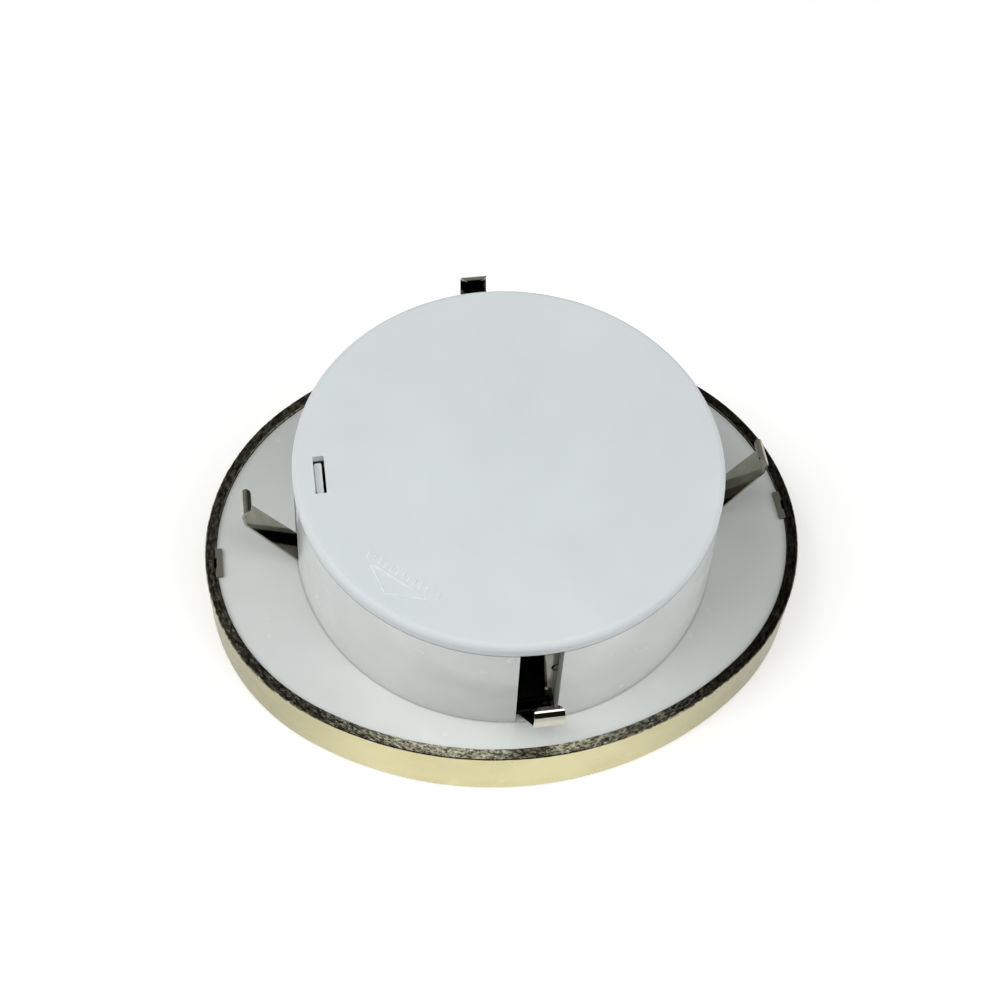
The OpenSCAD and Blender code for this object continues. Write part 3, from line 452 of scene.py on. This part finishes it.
FINISH_OF = {
    "housing_white": ["housing"],
    "cover_white": ["back_cover"],
    "bezel_gold": ["bezel"],
    "spring_steel": [
        "clip_legs", "clip_spring_right", "clip_spring_rear", "clip_spring_left", "clip_spring_front",
        "positive_contact", "negative_contact",
    ],
    "glass": ["lens"],
    "ring_gold": ["reflector_ring"],
    "dial_white": ["dial"],
    "black_plastic": ["movement_case", "movement_cover"],
    "brass": ["centre_bush", "hex_nut", "brass_washer", "cannon_pinion"],
    "rubber": ["rubber_washer"],
    "hand_black": ["hour_hand", "minute_hand", "second_hand"],
    "wheel_plastic": [
        "hour_wheel", "minute_wheel", "centre_wheel", "third_wheel", "second_wheel", "intermediate_wheel",
    ],
    "magnet": ["rotor"],
    "soft_iron": ["stator"],
    "bobbin_plastic": ["coil_bobbin"],
    "copper": ["coil_winding"],
    "board_green": ["circuit_board"],
    "can_steel": ["quartz_crystal"],
    "cell_red": ["battery"],
    "knob_white": ["setting_knob"],
}
for finish_name, node_names in FINISH_OF.items():
    for node_name in node_names:
        shade(nodes[node_name], finishes[finish_name])


# Small pieces that the frame leaves to this script
def mesh_piece(name, parts, finish, body):
    """A new piece from lists of points in millimetres and their faces."""
    verts, faces = [], []
    for part_verts, part_faces in parts:
        base = len(verts)
        verts += part_verts
        faces += [[i + base for i in face] for face in part_faces]
    mesh = bpy.data.meshes.new(name)
    mesh.from_pydata([Vector(v) * MM for v in verts], [], faces)
    mesh.update()
    obj = bpy.data.objects.new(name, mesh)
    bpy.context.scene.collection.objects.link(obj)
    shade(obj, finishes[finish])
    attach(obj, body)


def cover_z(x, y):
    """Height of the crowned cover."""
    r = math.hypot(x, y)
    return COVER_TOP - COVER_CROWN * min(1.0, (r / COVER_FLAT_R) ** 2)


def ridge(a, b, width, height, steps):
    """A low rounded bar from a to b on the cover, with sloped ends and its sides sunk a little."""
    profile = [(-0.5, -0.1), (-0.36, 0.8), (-0.16, 1.0), (0.16, 1.0), (0.36, 0.8), (0.5, -0.1)]
    sunk = -0.05
    a, b = Vector(a), Vector(b)
    along = (b - a).normalized()
    side = Vector((-along.y, along.x))
    verts, faces = [], []
    for i in range(steps + 1):
        t = i / steps
        end = min(1.0, min(t, 1 - t) * (b - a).length / (0.5 * width) + 0.15)
        for s, h in profile:
            p = a + (b - a) * t + side * s * width * (0.6 + 0.4 * end)
            verts.append((p.x, p.y, cover_z(p.x, p.y) + (h * height * end if h > 0 else sunk)))
    n = len(profile)
    for i in range(steps):
        for j in range(n - 1):
            k = i * n + j
            faces.append([k, k + 1, k + n + 1, k + n])
    faces.append(list(range(n - 1, -1, -1)))
    faces.append(list(range(steps * n, steps * n + n)))
    return verts, faces


def ribbon(points, width, z0, z1, loop=False):
    """A flat band of even width along points, from z0 to z1."""
    pts = [Vector(q[:2]) for q in points]
    n = len(pts)
    verts, faces = [], []
    for i, q in enumerate(pts):
        before = (q - pts[i - 1]) if i or loop else (pts[1] - q)
        after = (pts[(i + 1) % n] - q) if i < n - 1 or loop else before
        before, after = before.normalized(), after.normalized()
        mid = before + after
        mid = mid.normalized() if mid.length > 0.2 else before
        side = Vector((-mid.y, mid.x))
        reach = 0.5 * width / max(0.5, abs(mid.dot(before)))
        for s in (-reach, reach):
            for z in (z0, z1):
                verts.append((q.x + side.x * s, q.y + side.y * s, z))
    for i in range(n if loop else n - 1):
        a, b = 4 * i, 4 * ((i + 1) % n)
        faces += [[a, b, b + 2, a + 2], [a + 1, a + 3, b + 3, b + 1]]
        faces += [[a, a + 1, b + 1, b], [a + 2, b + 2, b + 3, a + 3]]
    if not loop:
        e = 4 * (n - 1)
        faces += [[0, 2, 3, 1], [e, e + 1, e + 3, e + 2]]
    return verts, faces


# Arrow outline and a row of grip ribs on the back cover
ARROW_A, ARROW_B, ARROW_TIP = (-35.2, -25.4), (-23.2, -36.3), (-32.7, -33.4)
BAR_WIDTH = 0.6
ARROW_HEIGHT, RIB_HEIGHT = 0.22, 0.2
RIBS, RIB_PITCH, RIB_START, RIB_GAP, RIB_LENGTH = 13, 1.58, -1.7, 0.8, 2.2
arrow_sides = ((ARROW_A, ARROW_B), (ARROW_B, ARROW_TIP), (ARROW_TIP, ARROW_A))
bars = [ridge(p, q, BAR_WIDTH, ARROW_HEIGHT, 12) for p, q in arrow_sides]
base_dir = (Vector(ARROW_B) - Vector(ARROW_A)).normalized()
inward = Vector((base_dir.y, -base_dir.x))
if inward.dot(Vector(ARROW_A)) > 0:
    inward = -inward
for i in range(RIBS):
    foot = Vector(ARROW_A) + base_dir * (RIB_PITCH * i + RIB_START) + inward * RIB_GAP
    bars.append(ridge(foot, foot + inward * RIB_LENGTH, BAR_WIDTH, RIB_HEIGHT, 5))
mesh_piece("cover_marks", bars, "cover_raised_lit", "cover")


def on_oval(angle, a, b):
    """Point of an oval in the direction of a hand, clockwise from 12 as seen from the front."""
    dx, dy = -math.sin(angle), math.cos(angle)
    r = 1 / math.hypot(dx / a, dy / b)
    return Vector((dx * r, dy * r))


# Dial print: a minute track and plain numbers, read from the front, where +X is to the left
PRINT_LOW, PRINT_HIGH, TICK_HIGH = 12.74, 12.79, 12.785
TRACK_OVALS = ((61.5, 48.5), (58.5, 45.5))
TRACK_LINE, TICK_WIDE, TICK_THIN = 0.25, 0.9, 0.3
OVAL_STEPS = 180
track = []
for a, b in TRACK_OVALS:
    oval = [on_oval(2 * math.pi * i / OVAL_STEPS, a, b) for i in range(OVAL_STEPS)]
    track.append(ribbon(oval, TRACK_LINE, PRINT_LOW, PRINT_HIGH, True))
for i in range(60):
    angle = math.pi * i / 30
    tick = [on_oval(angle, 61.4, 48.4), on_oval(angle, 58.6, 45.6)]
    track.append(ribbon(tick, TICK_WIDE if i % 5 == 0 else TICK_THIN, PRINT_LOW, TICK_HIGH))
mesh_piece("dial_track", track, "print_black", "insert")

# Strokes of the digits, in a box 4 wide and 6 high
DIGITS = {
    "0": [(0, 1.2), (0, 4.8), (1, 6), (3, 6), (4, 4.8), (4, 1.2), (3, 0), (1, 0)],
    "1": [(0.6, 4.8), (2, 6), (2, 0)],
    "2": [(0, 4.8), (1, 6), (3, 6), (4, 4.9), (3.9, 3.8), (0, 0), (4, 0)],
    "3": [(0, 5), (1, 6), (3, 6), (4, 5), (3.9, 3.9), (2.4, 3.2), (4, 2.3), (4, 1), (3, 0), (1, 0), (0, 1)],
    "4": [(3, 0), (3, 6), (0, 1.9), (4.2, 1.9)],
    "5": [(3.8, 6), (0.6, 6), (0.2, 3.2), (2.6, 3.7), (4, 2.6), (3.9, 0.9), (2.8, 0), (1, 0), (0, 0.8)],
    "6": [
        (3.6, 5.5), (2.4, 6), (0.9, 5.2), (0, 3), (0.1, 1), (1.1, 0),
        (3, 0), (4, 1), (3.9, 2.5), (2.9, 3.4), (1.2, 3.3), (0.3, 2.4),
    ],
    "7": [(0, 6), (4, 6), (1.5, 0)],
    "8": [
        (2, 3.2), (0.3, 4.2), (0.6, 5.6), (2, 6), (3.4, 5.6), (3.7, 4.2),
        (2, 3.2), (0, 1.8), (0.6, 0.3), (2, 0), (3.4, 0.3), (4, 1.8),
    ],
    "9": [
        (0.4, 0.5), (1.6, 0), (3.1, 0.8), (4, 3), (3.9, 5), (2.9, 6),
        (1, 6), (0, 5), (0.1, 3.5), (1.1, 2.6), (2.8, 2.7), (3.7, 3.6),
    ],
}
CLOSED_DIGITS = "08"
DIGIT_WIDTH, DIGIT_STEP, DIGIT_MID = 4, 5.4, 3
DIGIT_SCALE = 1.15
DIGIT_STROKE = 1.0
numbers = []
for hour in range(1, 13):
    centre = on_oval(math.pi * hour / 6, 51.5, 38.8)
    text = str(hour)
    start = -(DIGIT_WIDTH + DIGIT_STEP * (len(text) - 1)) / 2
    for k, digit in enumerate(text):
        shift = start + k * DIGIT_STEP
        stroke = [
            (centre.x - (shift + u) * DIGIT_SCALE, centre.y + (v - DIGIT_MID) * DIGIT_SCALE)
            for u, v in DIGITS[digit]
        ]
        numbers.append(ribbon(stroke, DIGIT_STROKE, PRINT_LOW, PRINT_HIGH, digit in CLOSED_DIGITS))
mesh_piece("dial_numbers", numbers, "print_black", "insert")

# Moulded marks on the movement: the two ways to turn the setting knob, and the cell's plus and minus ends
MARK_LOW, MARK_HIGH, CROSS_HIGH = 32.25, 32.5, 32.52
ARC_R, ARC_LINE = 9.2, 0.7
MARK_LINE = 0.6
PLUS_AT, MINUS_X = (25.5, -10.2), -25.2
PLUS_REACH = 1.2
knob_lo, knob_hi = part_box("setting_knob")
knob_x, knob_y = (knob_lo[0] + knob_hi[0]) / 2 / MM, (knob_lo[1] + knob_hi[1]) / 2 / MM
arc_angles = [math.radians(t) for t in range(70, 176, 7)]
arc = [(knob_x + ARC_R * math.cos(t), knob_y + ARC_R * math.sin(t)) for t in arc_angles]
marks = [ribbon(arc, ARC_LINE, MARK_LOW, MARK_HIGH)]
for tip, inner in ((0, 1), (-1, -2)):
    head, tail = Vector(arc[tip]), Vector(arc[inner])
    along = (head - tail).normalized()
    side = Vector((-along.y, along.x))
    point = head + along * 1.2
    barbs = [point - along * 1.6 + side * 1.5, point, point - along * 1.6 - side * 1.5]
    marks.append(ribbon(barbs, MARK_LINE, MARK_LOW, CROSS_HIGH))
plus_x, mark_y = PLUS_AT
for ends, top in (
    (((plus_x - PLUS_REACH, mark_y), (plus_x + PLUS_REACH, mark_y)), MARK_HIGH),
    (((plus_x, mark_y - PLUS_REACH), (plus_x, mark_y + PLUS_REACH)), CROSS_HIGH),
    (((MINUS_X - PLUS_REACH, mark_y), (MINUS_X + PLUS_REACH, mark_y)), MARK_HIGH),
):
    marks.append(ribbon(ends, MARK_LINE, MARK_LOW, top))
mesh_piece("movement_marks", marks, "mark_grey", "insert")


# Camera from the photograph's solve: it looks at the rim's plane, from in front and above
FOCAL_PX = 1522.8
IMAGE_PX = 1000.0
SENSOR_MM = 36.0
ELEVATION = math.radians(57.24)
ROLL = math.radians(-3.81)
TURN = math.radians(11.33)
DISTANCE = 385.2 * MM
OFFSET_X, OFFSET_Y = 1.07 * MM, -7.75 * MM
back = Vector((0, -math.cos(ELEVATION), math.sin(ELEVATION)))
right = Vector((1, 0, 0))
up = back.cross(right)
rolled_right = right * math.cos(ROLL) - up * math.sin(ROLL)
rolled_up = right * math.sin(ROLL) + up * math.cos(ROLL)
spot = back * DISTANCE - rolled_right * OFFSET_X - rolled_up * OFFSET_Y
turn = Matrix.Rotation(-TURN, 3, "Z")
camera_data = bpy.data.cameras.new("camera")
camera = bpy.data.objects.new("camera", camera_data)
bpy.context.scene.collection.objects.link(camera)
camera_axes = Matrix((turn @ rolled_right, turn @ rolled_up, turn @ back)).transposed()
camera_spot = turn @ spot + Vector((0, 0, RIM_Z * MM))
camera.matrix_world = Matrix.Translation(camera_spot) @ camera_axes.to_4x4()
camera_data.sensor_width = SENSOR_MM
camera_data.lens = SENSOR_MM * FOCAL_PX / IMAGE_PX
camera_data.clip_start = 0.01
camera_data.clip_end = 50.0
bpy.context.scene.camera = camera


# Floor: white to the camera and in reflections, with the object's shadow on it
FLOOR_HALF = 6.0
FLOOR_DROP = 0.2 * MM
FLOOR_GLOW = 0.3
corners = [(FLOOR_HALF * x, FLOOR_HALF * y, 0) for x, y in ((-1, -1), (1, -1), (1, 1), (-1, 1))]
floor_mesh = bpy.data.meshes.new("floor")
floor_mesh.from_pydata(corners, [], [[0, 1, 2, 3]])
floor = bpy.data.objects.new("floor", floor_mesh)
floor.location.z = -FLOOR_DROP
bpy.context.scene.collection.objects.link(floor)
floor_finish = Finish("floor", (0.86, 0.86, 0.86, 1.0), 0.7)
rays = floor_finish.tree.nodes.new("ShaderNodeLightPath").outputs
seen = floor_finish.any_of(rays["Is Glossy Ray"], rays["Is Transmission Ray"], rays["Is Camera Ray"])
floor_finish.set("Emission Color", (1, 1, 1, 1))
floor_finish.set("Emission Strength", floor_finish.op("MULTIPLY", seen, FLOOR_GLOW))
shade(floor, floor_finish)


LIGHT_TARGET = Vector((0, 0, 20 * MM))


def softbox(name, azimuth, elevation, distance, size_x, size_y, power):
    """Area light seen from the object at an azimuth (0 is behind it in the photograph) and elevation."""
    light = bpy.data.lights.new(name, "AREA")
    light.shape = "RECTANGLE"
    light.size, light.size_y = size_x, size_y
    light.energy = power
    a, e = math.radians(azimuth) - TURN, math.radians(elevation)
    way = Vector((-math.sin(a) * math.cos(e), math.cos(a) * math.cos(e), math.sin(e)))
    obj = bpy.data.objects.new(name, light)
    obj.location = LIGHT_TARGET + way * distance
    obj.rotation_euler = way.to_track_quat("Z", "Y").to_euler()
    bpy.context.scene.collection.objects.link(obj)


softbox("light_top", 180, 74, 1.2, 1.2, 0.35, 5.2)
softbox("light_left", 105, 45, 1.3, 1.3, 1.1, 10.3)
softbox("light_right", -105, 38, 1.3, 1.3, 1.0, 7.6)

# Studio round the floor: a pale backdrop low down at the rear and sides, dark above it and in front
BACKDROP, CEILING, FRONT_SHARE = 0.35, 0.03, 0.04
world = bpy.data.worlds.new("studio")
world.use_nodes = True
bpy.context.scene.world = world
world_tree = world.node_tree
sky = Nodes(world_tree, world_tree.nodes.new("ShaderNodeTexCoord").outputs["Generated"])
by_height = sky.span(sky.axes()[2], 0.5, 0.75, BACKDROP, CEILING, smooth=True)
to_rear = world_tree.nodes.new("ShaderNodeVectorMath")
to_rear.operation = "DOT_PRODUCT"
sky.plug(to_rear.inputs[0], sky.coords)
to_rear.inputs[1].default_value = (math.sin(TURN), math.cos(TURN), 0.0)
front_shade = sky.span(to_rear.outputs["Value"], -0.75, -0.2, FRONT_SHARE, 1.0, smooth=True)
background = world_tree.nodes["Background"]
sky.plug(background.inputs["Strength"], sky.op("MULTIPLY", by_height, front_shade))
background.inputs["Color"].default_value = (1, 1, 1, 1)

scene = bpy.context.scene
scene.view_settings.view_transform = "Standard"
